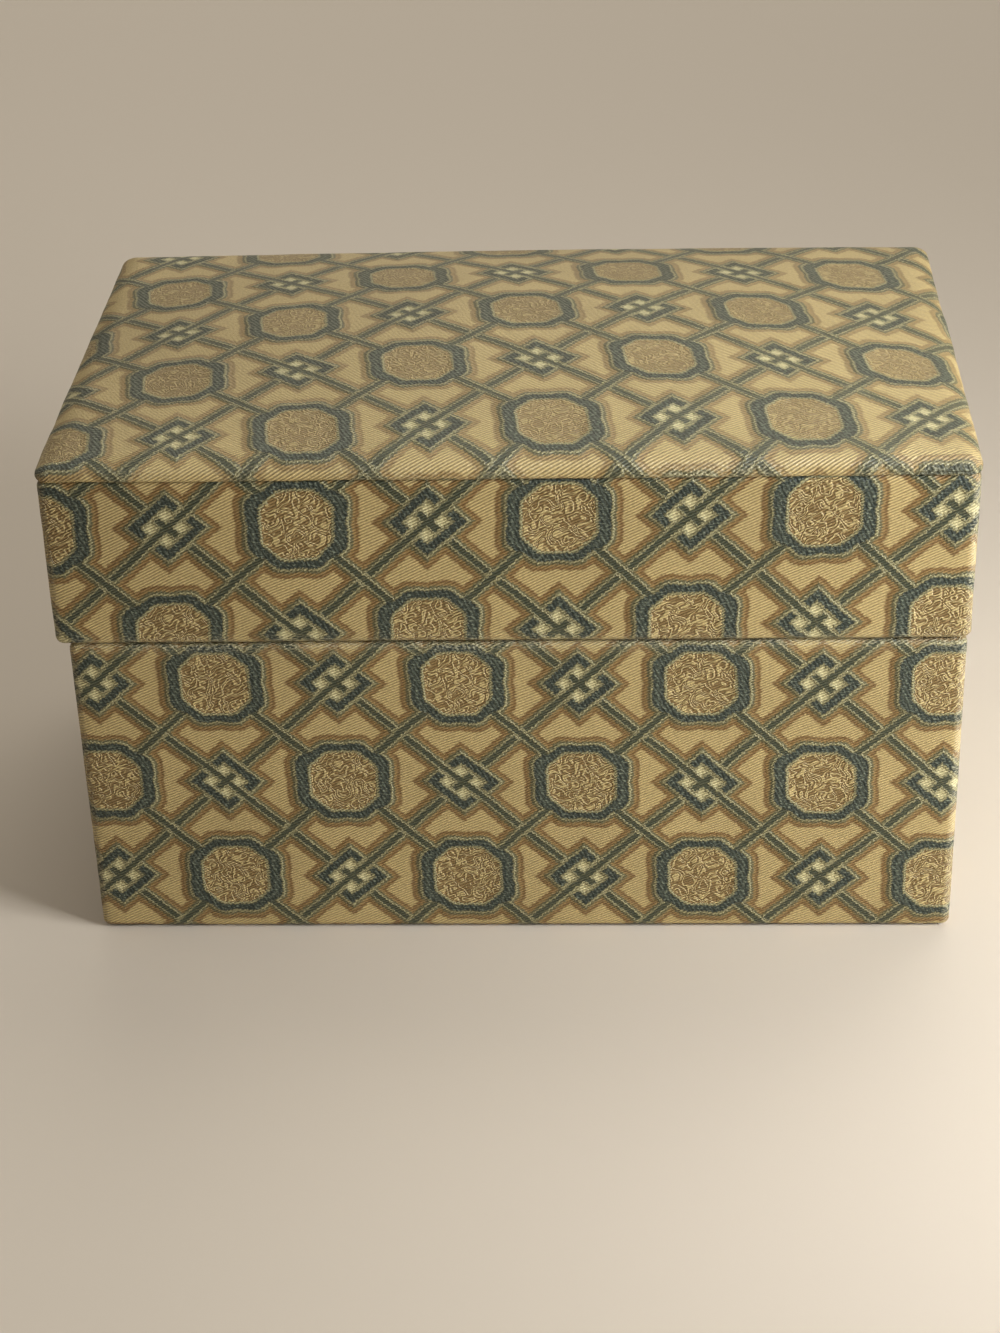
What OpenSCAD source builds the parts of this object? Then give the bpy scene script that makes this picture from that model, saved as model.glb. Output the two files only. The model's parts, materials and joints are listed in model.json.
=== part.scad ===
// Brocade box with a padded lid.
// Two card trays are covered in woven brocade and lined with satin. A strip of brocade
// along the back joins them and is the hinge. The front faces -Y and +Z is up.
// The origin is the middle of the base's underside.

/* [Base] */
// Width of the base, over its brocade
base_w = 152; // [120:1:200]
// Depth of the base, over its brocade
base_d = 95; // [80:1:140]
// Height of the base, from the table to its rim
base_h = 58.8; // [45:0.2:90]

/* [Lid] */
// Height of the lid's walls, from the rim to the crease under the padded panel
lid_wall_h = 30.5; // [25:0.5:45]
// How much wider the lid is than the base
lid_extra_w = 2.4; // [0:0.1:3]
// How far the lid sits to the left of the base's middle
lid_shift = 0.75; // [0:0.05:1.5]
// How far the lid's front stands in front of the base's
lid_front_proud = 0.6; // [0:0.1:1.5]
// Gap between the two rims when the lid is shut
seam_gap = 0.3; // [0.2:0.05:0.6]
// Angle at which the inner hinge strip pulls taut
lid_opening = 105; // [90:1:115]

/* [Boards and cloth] */
// Thickness of the grey board
board_t = 3; // [2:0.25:4]
// Thickness of the brocade with its paper backing
cloth_t = 0.6; // [0.4:0.05:0.8]
// Thickness of the paper under the base
paper_t = 0.4; // [0.2:0.05:0.8]
// How far the underside paper stays inside the base's edges
paper_margin = 3; // [2:0.5:6]
// How far the brocade is turned in over a rim
turn_in = 9; // [6:0.5:14]
// How far the brocade is turned under a floor or a deck
hem = 12; // [8:0.5:18]
// Radius of the upright corners
corner_r = 1.6; // [1:0.1:3]
// Radius of the folded edge along a rim
rim_r = 1.2; // [0.9:0.1:1.6]
// Radius of the folded edge along a floor or a deck
hem_r = 1; // [0.9:0.1:1.6]
// Distance from each back corner to the edge of the hinge brocade
back_margin = 3; // [2:0.5:8]

/* [Satin lining] */
// Thickness of a satin-covered lining card
lining_t = 1.6; // [1.2:0.1:2.4]
// How far the linings stop short of the rim
lining_drop = 2; // [1:0.25:4]
// Thickness of the satin hinge strip
strip_t = 0.4; // [0.3:0.05:0.6]
// Height of the hinge strip that is glued to each tray
strip_h = 12; // [10:0.5:18]
// Thickness of the card under a cushion
cushion_card_t = 1; // [0.8:0.1:2]
// Height of a cushion's edge above its card
cushion_side_h = 1.2; // [0.8:0.1:3]
// Height of the round at a cushion's edge
cushion_roll_h = 2; // [1:0.1:3]
// Rise of a cushion from its edge to its middle
cushion_crown = 1.6; // [0.5:0.1:3]
// Gap round a cushion
cushion_gap = 0.3; // [0.2:0.05:0.6]

/* [Padded panel] */
// How far the padded panel swells past the lid's walls
panel_bulge = 0.3; // [0:0.05:0.8]
// Thickness of the card inside the padded panel
panel_card_t = 1; // [0.8:0.1:2.5]
// Width of the roll along the panel's edges
panel_roll_w = 5; // [3:0.1:6]
// Height of the roll along the panel's edges
panel_roll_h = 1.4; // [1.2:0.1:3]
// Rise of the padding from the rolled edge to the middle
panel_crown = 5; // [1:0.1:6]
// Radius of the panel's corners, seen from above
panel_corner_r = 2.6; // [2:0.1:5]

/* [Hidden] */
$fn = 48;
// Overshoot of a cutting block past the face that it opens
cut = 1;
// Clearance between wadding and the brocade that is stretched over it
wadding_gap = 0.05;
// Clearance between parts of a hinge that meet edge to edge
edge_gap = 0.2;
// Clearance behind the hinge brocade
glue_gap = 0.02;
// Distances along a rolled edge, as shares of its width, where its round is sampled
roll_steps = [0, 0.03, 0.12, 0.3, 0.6];
// Spans across the flat middle of a padded top
spans_x = 14;
spans_y = 10;

// Trays, each built floor down and open at the top
base_tray = [base_w, base_d, base_h - paper_t];
lid_tray = [base_w + lid_extra_w, base_d + lid_front_proud, lid_wall_h];
crease_z = base_h + seam_gap + lid_wall_h;
wall_t = cloth_t + board_t;
flap_t = wall_t + cloth_t;
floor_z = wall_t;

// The slack of the hinge strip is a half-round fold whose arc spans the open joint
fold_r = 2 * flap_t * sin(lid_opening / 2) / PI;
// Height of the fold's middle above a tray's rim
fold_rise = seam_gap / 2;

// The padded panel, measured from the crease
panel_size = [lid_tray[0] + 2 * panel_bulge, lid_tray[1] + 2 * panel_bulge];
panel_side_h = cloth_t + panel_card_t;

// Colours of the materials
brocade_gold = "#b0965a";
board_grey = "#8d8a82";
paper_blue = "#27364a";
satin_gold = "#cfb070";
wadding_white = "#ece8dd";
card_white = "#d8d2c2";

// Rectangle of w by d with round corners
module round_rect(w, d, r) {
    square([w - 2 * r, d], center = true);
    square([w, d - 2 * r], center = true);
    for (x = [-1, 1], y = [-1, 1])
        translate([x * (w / 2 - r), y * (d / 2 - r)]) circle(r = r);
}

// Upright section w wide and h high, with top corners of radius r_top and bottom ones of r_low
module edge_section(w, h, r_top, r_low) {
    translate([-w / 2, r_low]) square([w, h - r_low - r_top]);
    translate([-w / 2 + r_top, h / 2]) square([w - 2 * r_top, h / 2]);
    translate([-w / 2 + r_low, 0]) square([w - 2 * r_low, h / 2]);
    for (x = [-1, 1]) {
        translate([x * (w / 2 - r_top), h - r_top]) circle(r = r_top);
        translate([x * (w / 2 - r_low), r_low]) circle(r = r_low);
    }
}

// Block standing on z = 0 whose outer edges are all rounded, as cloth folds over board
module soft_block(w, d, h, r_side, r_top, r_low) {
    intersection() {
        linear_extrude(h) round_rect(w, d, r_side);
        translate([-w / 2, 0, 0]) rotate([90, 0, 90]) linear_extrude(w) edge_section(d, h, r_top, r_low);
        translate([0, d / 2, 0]) rotate([90, 0, 0]) linear_extrude(d) edge_section(w, h, r_top, r_low);
    }
}

// Upright prism centred on the axis, from z_low to z_high
module prism(w, d, z_low, z_high) {
    translate([-w / 2, -d / 2, z_low]) cube([w, d, z_high - z_low]);
}

// The space that the boards of a tray fill, with its inside
module board_block(tray) {
    translate([0, 0, cloth_t])
        soft_block(tray[0] - 2 * cloth_t, tray[1] - 2 * cloth_t, tray[2] - 2 * cloth_t,
                   corner_r - cloth_t, rim_r - cloth_t, hem_r - cloth_t);
}

// A long wall board, the full width of the tray; side is -1 at the front and 1 at the back
module long_board(tray, side) {
    intersection() {
        board_block(tray);
        translate([-tray[0] / 2, side * (tray[1] / 2 - cloth_t - board_t / 2) - board_t / 2, 0])
            cube([tray[0], board_t, tray[2]]);
    }
}

// A short wall board, fitted between the long ones; side is -1 at the left and 1 at the right
module short_board(tray, side) {
    intersection() {
        board_block(tray);
        translate([side * (tray[0] / 2 - cloth_t - board_t / 2) - board_t / 2, -tray[1] / 2 + wall_t, 0])
            cube([board_t, tray[1] - 2 * wall_t, tray[2]]);
    }
}

// The board across the closed side of a tray, between its four walls
module floor_board(tray) {
    prism(tray[0] - 2 * wall_t, tray[1] - 2 * wall_t, cloth_t, floor_z);
}

// The woven cover of a tray: its outside, the turned-in rim and the turned-under hem.
// Its outer layer is left open across the back for the hinge brocade.
module tray_brocade(tray) {
    difference() {
        union() {
            difference() {
                soft_block(tray[0], tray[1], tray[2], corner_r, rim_r, hem_r);
                board_block(tray);
                prism(tray[0] - 2 * hem, tray[1] - 2 * hem, -cut, tray[2] / 2);
            }
            prism(tray[0] - 2 * wall_t, tray[1] - 2 * wall_t, tray[2] - turn_in, tray[2]);
        }
        prism(tray[0] - 2 * flap_t, tray[1] - 2 * flap_t, tray[2] / 2, tray[2] + cut);
        translate([-tray[0] / 2 + back_margin, tray[1] / 2 - cloth_t - glue_gap, -cut])
            cube([tray[0] - 2 * back_margin, cloth_t + glue_gap + cut, tray[2] + 2 * cut]);
    }
}

// Half of the hinge brocade: it covers the back of a tray and ends on the hinge line
module back_brocade(tray) {
    w = tray[0] - 2 * back_margin;
    translate([-w / 2, tray[1] / 2 - cloth_t, 0]) cube([w, cloth_t, tray[2] + seam_gap / 2]);
}

// Section of a lining card of height h: flat faces and a round top edge under the satin
module lining_section(h) {
    translate([0, 0]) square([lining_t, h - lining_t / 2]);
    translate([lining_t / 2, h - lining_t / 2]) circle(d = lining_t);
}

// Height of the front and side linings above the tray's floor
function lining_h(tray) = tray[2] - lining_drop - floor_z;
// The back lining stops just below the fold of the hinge strip
function back_lining_h(tray) = tray[2] + fold_rise - fold_r - edge_gap - floor_z;
// Clear width and depth between the linings
function inner_w(tray) = tray[0] - 2 * (flap_t + lining_t);
function inner_d(tray) = tray[1] - 2 * (flap_t + lining_t) - strip_t;

// The lining of the front wall, the full width of the inside
module front_lining(tray) {
    w = tray[0] - 2 * flap_t;
    translate([-w / 2, -tray[1] / 2 + flap_t, floor_z])
        rotate([90, 0, 90]) linear_extrude(w) lining_section(lining_h(tray));
}

// The lining of the back wall, which holds the hinge strip against the turned-in brocade
module back_lining(tray) {
    w = tray[0] - 2 * flap_t;
    translate([-w / 2, tray[1] / 2 - flap_t - strip_t - lining_t, floor_z])
        rotate([90, 0, 90]) linear_extrude(w) lining_section(back_lining_h(tray));
}

// The lining of a side wall, fitted between the long linings
module side_lining(tray, side) {
    front_y = -tray[1] / 2 + flap_t + lining_t;
    translate([side * (tray[0] / 2 - flap_t - lining_t / 2) - lining_t / 2, front_y + inner_d(tray), floor_z])
        rotate([90, 0, 0]) linear_extrude(inner_d(tray)) lining_section(lining_h(tray));
}

// Middle of the space between the linings, which the hinge strip pushes forward
function inner_y(tray) = -tray[1] / 2 + flap_t + lining_t + inner_d(tray) / 2;

// Round at a padded edge: 0 on the edge, 1 at the roll's width from it
function roll_height(distance, roll_w) =
    let (left = 1 - min(distance / roll_w, 1)) sqrt(1 - left * left);

// Swell of the padding between two opposite edges: 0 on them, 1 in the middle
function swell(place, half) = 1 - pow(place / half, 2);

// Places across a padded top of half width half: close on the rolls, even between them
function pad_places(half, roll_w, spans) =
    let (inner = half - roll_w,
         rising = [for (s = roll_steps) -half + s * roll_w],
         middle = [for (i = [0:spans]) -inner + 2 * inner * i / spans],
         falling = [for (i = [len(roll_steps) - 1:-1:0]) half - roll_steps[i] * roll_w])
    concat(rising, middle, falling);

// A padded form of size w by d on z = 0: upright sides, rolled edges and a crowned top
module padded_form(w, d, side_h, roll_w, roll_h, crown) {
    xs = pad_places(w / 2, roll_w, spans_x);
    ys = pad_places(d / 2, roll_w, spans_y);
    nx = len(xs);
    ny = len(ys);
    top = [for (y = ys, x = xs)
        [x, y, side_h
            + roll_h * roll_height(w / 2 - abs(x), roll_w) * roll_height(d / 2 - abs(y), roll_w)
            + crown * swell(x, w / 2) * swell(y, d / 2)]];
    n = nx * ny;
    // The edge of the grid, once round, anticlockwise as seen from above
    rim = concat(
        [for (i = [0:nx - 2]) i],
        [for (j = [0:ny - 2]) j * nx + nx - 1],
        [for (i = [nx - 1:-1:1]) (ny - 1) * nx + i],
        [for (j = [ny - 1:-1:1]) j * nx]);
    last = len(rim);
    // The underside is a fan from its middle to the foot of the edge
    low = concat([for (k = rim) [top[k][0], top[k][1], 0]], [[0, 0, 0]]);
    sides = [for (k = [0:last - 1]) let (next = (k + 1) % last)
        each [[rim[k], rim[next], n + next], [rim[k], n + next, n + k], [n + last, n + k, n + next]]];
    cells = [for (j = [0:ny - 2], i = [0:nx - 2]) let (a = j * nx + i)
        each [[a, a + nx, a + nx + 1], [a, a + nx + 1, a + 1]]];
    polyhedron(concat(top, low), concat(cells, sides));
}

// A satin cushion that lies between the linings of a tray, on its card
module cushion(tray) {
    translate([0, inner_y(tray), floor_z + cushion_card_t])
        padded_form(inner_w(tray) - 2 * cushion_gap, inner_d(tray) - 2 * cushion_gap,
                    cushion_side_h, cushion_roll_h, cushion_roll_h, cushion_crown);
}

// The card under a cushion
module cushion_card(tray) {
    translate([0, inner_y(tray), 0])
        prism(inner_w(tray) - 2 * cushion_gap, inner_d(tray) - 2 * cushion_gap,
              floor_z, floor_z + cushion_card_t);
}

// A leaf of the hinge strip, glued behind the back lining, from the rim down to z_top above it
module strip_leaf(tray, top) {
    w = tray[0] - 2 * flap_t - 2 * edge_gap;
    translate([-w / 2, tray[1] / 2 - flap_t - strip_t, tray[2] - strip_h])
        cube([w, strip_t, top + strip_h]);
}

// The half-round fold that holds the strip's slack, on the inside of the seam
module strip_fold(tray) {
    w = tray[0] - 2 * flap_t - 2 * edge_gap;
    translate([-w / 2, tray[1] / 2 - flap_t, tray[2] + fold_rise])
        rotate([90, 0, 90]) linear_extrude(w) difference() {
            circle(r = fold_r);
            circle(r = fold_r - strip_t);
            translate([0, -fold_r - cut]) square([fold_r + cut, 2 * (fold_r + cut)]);
        }
}

// Puts a tray on the paper under the base
module in_base() {
    translate([0, 0, paper_t]) children();
}

// Puts a tray upside down above the seam, with its back in line with the base's
module in_lid() {
    translate([-lid_shift, -lid_front_proud / 2, crease_z]) mirror([0, 0, 1]) children();
}

// Puts a piece of the padded panel on the crease
module on_crease() {
    translate([-lid_shift, -lid_front_proud / 2, crease_z]) children();
}

// Outside of the padded panel, or with inset the inside of the brocade round it
module panel_form(inset, low_z, roll_h) {
    w = panel_size[0] - 2 * inset;
    d = panel_size[1] - 2 * inset;
    intersection() {
        translate([0, 0, low_z])
            padded_form(w, d, panel_side_h - low_z, panel_roll_w, roll_h, panel_crown);
        translate([0, 0, low_z])
            linear_extrude(panel_side_h + panel_roll_h + panel_crown) round_rect(w, d, panel_corner_r - inset);
    }
}

// The card of the padded panel with its own round corners
module panel_card_form(low_z, high_z) {
    translate([0, 0, low_z]) linear_extrude(high_z - low_z)
        round_rect(panel_size[0] - 2 * cloth_t, panel_size[1] - 2 * cloth_t, panel_corner_r - cloth_t);
}

module base_front_board() { color(board_grey) in_base() long_board(base_tray, -1); }
module base_back_board() { color(board_grey) in_base() long_board(base_tray, 1); }
module base_left_board() { color(board_grey) in_base() short_board(base_tray, -1); }
module base_right_board() { color(board_grey) in_base() short_board(base_tray, 1); }
module base_floor_board() { color(board_grey) in_base() floor_board(base_tray); }
module base_brocade() { color(brocade_gold) in_base() tray_brocade(base_tray); }
module base_back_brocade() { color(brocade_gold) in_base() back_brocade(base_tray); }

// The paper hides the hem and fills the well inside it, up to the floor board
module base_underside_paper() {
    color(paper_blue) {
        prism(base_w - 2 * paper_margin, base_d - 2 * paper_margin, 0, paper_t);
        prism(base_w - 2 * hem, base_d - 2 * hem, 0, paper_t + cloth_t);
    }
}

module base_front_lining() { color(satin_gold) in_base() front_lining(base_tray); }
module base_back_lining() { color(satin_gold) in_base() back_lining(base_tray); }
module base_left_lining() { color(satin_gold) in_base() side_lining(base_tray, -1); }
module base_right_lining() { color(satin_gold) in_base() side_lining(base_tray, 1); }
module base_cushion_card() { color(card_white) in_base() cushion_card(base_tray); }
module base_cushion() { color(satin_gold) in_base() cushion(base_tray); }

// The base's leaf of the hinge strip carries the fold
module base_hinge_lining() {
    color(satin_gold) in_base() {
        strip_leaf(base_tray, fold_rise - fold_r + strip_t);
        strip_fold(base_tray);
    }
}

module lid_front_board() { color(board_grey) in_lid() long_board(lid_tray, -1); }
module lid_back_board() { color(board_grey) in_lid() long_board(lid_tray, 1); }
module lid_left_board() { color(board_grey) in_lid() short_board(lid_tray, -1); }
module lid_right_board() { color(board_grey) in_lid() short_board(lid_tray, 1); }
module lid_deck_board() { color(board_grey) in_lid() floor_board(lid_tray); }
module lid_brocade() { color(brocade_gold) in_lid() tray_brocade(lid_tray); }
module lid_back_brocade() { color(brocade_gold) in_lid() back_brocade(lid_tray); }

module panel_card() {
    color(card_white) on_crease() panel_card_form(cloth_t, panel_side_h);
}

module panel_wadding() {
    color(wadding_white) on_crease()
        panel_form(cloth_t + wadding_gap, panel_side_h, panel_roll_h - cloth_t - wadding_gap);
}

// The brocade stretched over the wadding and turned under the card
module panel_brocade() {
    color(brocade_gold) on_crease() difference() {
        panel_form(0, 0, panel_roll_h);
        panel_card_form(cloth_t, panel_side_h);
        panel_form(cloth_t, panel_side_h, panel_roll_h - cloth_t);
        prism(panel_size[0] - 2 * hem, panel_size[1] - 2 * hem, -cut, cloth_t + cut / 2);
    }
}

module lid_front_lining() { color(satin_gold) in_lid() front_lining(lid_tray); }
module lid_back_lining() { color(satin_gold) in_lid() back_lining(lid_tray); }
module lid_left_lining() { color(satin_gold) in_lid() side_lining(lid_tray, -1); }
module lid_right_lining() { color(satin_gold) in_lid() side_lining(lid_tray, 1); }
module lid_cushion_card() { color(card_white) in_lid() cushion_card(lid_tray); }
module lid_cushion() { color(satin_gold) in_lid() cushion(lid_tray); }

// The lid's leaf of the hinge strip starts just clear of the fold
module lid_hinge_lining() {
    color(satin_gold) in_lid() strip_leaf(lid_tray, fold_rise - fold_r - edge_gap);
}

base_front_board();
base_back_board();
base_left_board();
base_right_board();
base_floor_board();
base_brocade();
base_back_brocade();
base_underside_paper();
base_front_lining();
base_back_lining();
base_left_lining();
base_right_lining();
base_cushion_card();
base_cushion();
base_hinge_lining();
lid_front_board();
lid_back_board();
lid_left_board();
lid_right_board();
lid_deck_board();
lid_brocade();
lid_back_brocade();
panel_card();
panel_wadding();
panel_brocade();
lid_front_lining();
lid_back_lining();
lid_left_lining();
lid_right_lining();
lid_cushion_card();
lid_cushion();
lid_hinge_lining();
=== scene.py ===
"""Looks of the brocade box with a padded lid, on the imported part's frame.

The covers are made as a box maker makes them: a flat cut of cloth is a grid, its own millimetres
are kept as the UV map "cloth", and the grid is then carried round the boards. So the woven figure
runs on over rims and round corners. Lengths are in millimetres until a point goes into a mesh.
"""

import json
import logging
import math
from dataclasses import dataclass, field
from enum import Enum
from typing import Any, Optional

import bmesh
import bpy
from mathutils import Matrix, Vector, noise
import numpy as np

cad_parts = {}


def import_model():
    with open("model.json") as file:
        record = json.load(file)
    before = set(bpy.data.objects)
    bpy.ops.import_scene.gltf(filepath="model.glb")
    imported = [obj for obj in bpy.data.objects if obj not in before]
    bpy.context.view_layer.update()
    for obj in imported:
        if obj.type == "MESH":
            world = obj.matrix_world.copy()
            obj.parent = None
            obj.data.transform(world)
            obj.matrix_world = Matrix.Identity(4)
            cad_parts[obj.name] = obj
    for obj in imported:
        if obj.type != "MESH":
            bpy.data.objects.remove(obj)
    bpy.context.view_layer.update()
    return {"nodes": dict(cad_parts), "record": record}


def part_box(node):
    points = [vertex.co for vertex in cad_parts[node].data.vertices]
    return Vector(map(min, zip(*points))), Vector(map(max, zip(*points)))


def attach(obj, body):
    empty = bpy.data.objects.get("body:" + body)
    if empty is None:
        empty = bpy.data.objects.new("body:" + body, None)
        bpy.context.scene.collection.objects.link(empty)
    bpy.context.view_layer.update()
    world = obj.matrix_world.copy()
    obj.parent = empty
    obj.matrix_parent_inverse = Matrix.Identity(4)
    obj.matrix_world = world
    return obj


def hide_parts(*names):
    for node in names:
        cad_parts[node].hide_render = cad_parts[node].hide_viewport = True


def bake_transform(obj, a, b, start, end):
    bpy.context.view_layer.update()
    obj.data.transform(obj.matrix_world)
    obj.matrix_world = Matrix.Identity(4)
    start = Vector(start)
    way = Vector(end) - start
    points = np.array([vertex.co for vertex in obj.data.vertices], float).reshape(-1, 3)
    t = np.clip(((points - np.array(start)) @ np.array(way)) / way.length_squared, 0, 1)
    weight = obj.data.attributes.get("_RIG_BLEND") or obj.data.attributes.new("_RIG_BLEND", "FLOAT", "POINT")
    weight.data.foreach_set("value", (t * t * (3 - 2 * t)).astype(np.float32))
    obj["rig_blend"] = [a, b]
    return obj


MM = 0.001
LOG = logging.getLogger("brocade_box")
CLOTH_MAP = "cloth"
# Vertex attribute of the rubbed wear on the covers, which on the panel's bunched folds also carries a painted highlight
WEAR_AND_HIGHLIGHT = "wear_and_highlight"


class Shade(Enum):
    """Colours of the finishes, as sRGB hex values."""

    GOLD = "#b29c69"
    BROWN = "#795d35"
    TAN = "#8a7044"
    SAGE = "#968f68"
    MOSS = "#615c3f"
    CORE = "#3c4131"
    NAVY = "#222a22"
    NAVY_LIGHT = "#747a66"
    WINDOW = "#bdb385"
    ROUNDEL = "#7b633b"
    ROUNDEL_LIGHT = "#b7a26e"
    WORN = "#cbc19c"
    SATIN = "#c9a262"
    SATIN_DEEP = "#a67f44"
    BOARD = "#8d8a82"
    BOARD_FLECK = "#6f6c66"
    CARD = "#d8d2c2"
    CARD_FLECK = "#b9b19d"
    WADDING = "#ece8dd"
    PAPER = "#24324a"
    PAPER_FIBRE = "#3d4c66"
    FLOOR = "#c8bcab"


class Side(Enum):
    """Sides of the box, by the way that they face."""

    FRONT = (0, -1)
    BACK = (0, 1)
    LEFT = (-1, 0)
    RIGHT = (1, 0)


def linear(colour: Shade) -> tuple[float, float, float, float]:
    """Turns an sRGB hex value to linear colour.

    Args:
        colour: the shade.

    Returns:
        Red, green, blue and alpha, linear.
    """
    parts = [int(colour.value[i:i + 2], 16) / 255 for i in (1, 3, 5)]
    lit = [c / 12.92 if c <= 0.04045 else ((c + 0.055) / 1.055) ** 2.4 for c in parts]
    return (*lit, 1.0)


def between(first: Shade, second: Shade, share: float) -> tuple[float, ...]:
    """Mixes two shades.

    Args:
        first: the shade at a share of 0.
        second: the shade at a share of 1.
        share: how much of the second.

    Returns:
        Red, green, blue and alpha, linear.
    """
    return tuple(a + share * (b - a) for a, b in zip(linear(first), linear(second)))


def node(tree: bpy.types.NodeTree, kind: str, inputs: Optional[dict] = None, **settings: Any) -> bpy.types.Node:
    """Adds one node with its settings, values and links.

    Args:
        tree: the node tree.
        kind: Blender's name of the node type.
        inputs: socket name or number to a value, or to the output socket that is linked to it.
        settings: the node's own properties.

    Returns:
        The node.
    """
    made = tree.nodes.new(kind)
    for name, value in settings.items():
        setattr(made, name, value)
    for key, value in (inputs or {}).items():
        if isinstance(value, bpy.types.NodeSocket):
            tree.links.new(value, made.inputs[key])
        else:
            made.inputs[key].default_value = value
    return made


def new_material(name: str) -> tuple[bpy.types.Material, bpy.types.NodeTree]:
    """Makes an empty node material.

    Args:
        name: the material's name.

    Returns:
        The material and its node tree.
    """
    material = bpy.data.materials.new(name)
    material.use_nodes = True
    material.node_tree.nodes.clear()
    return material, material.node_tree


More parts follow.
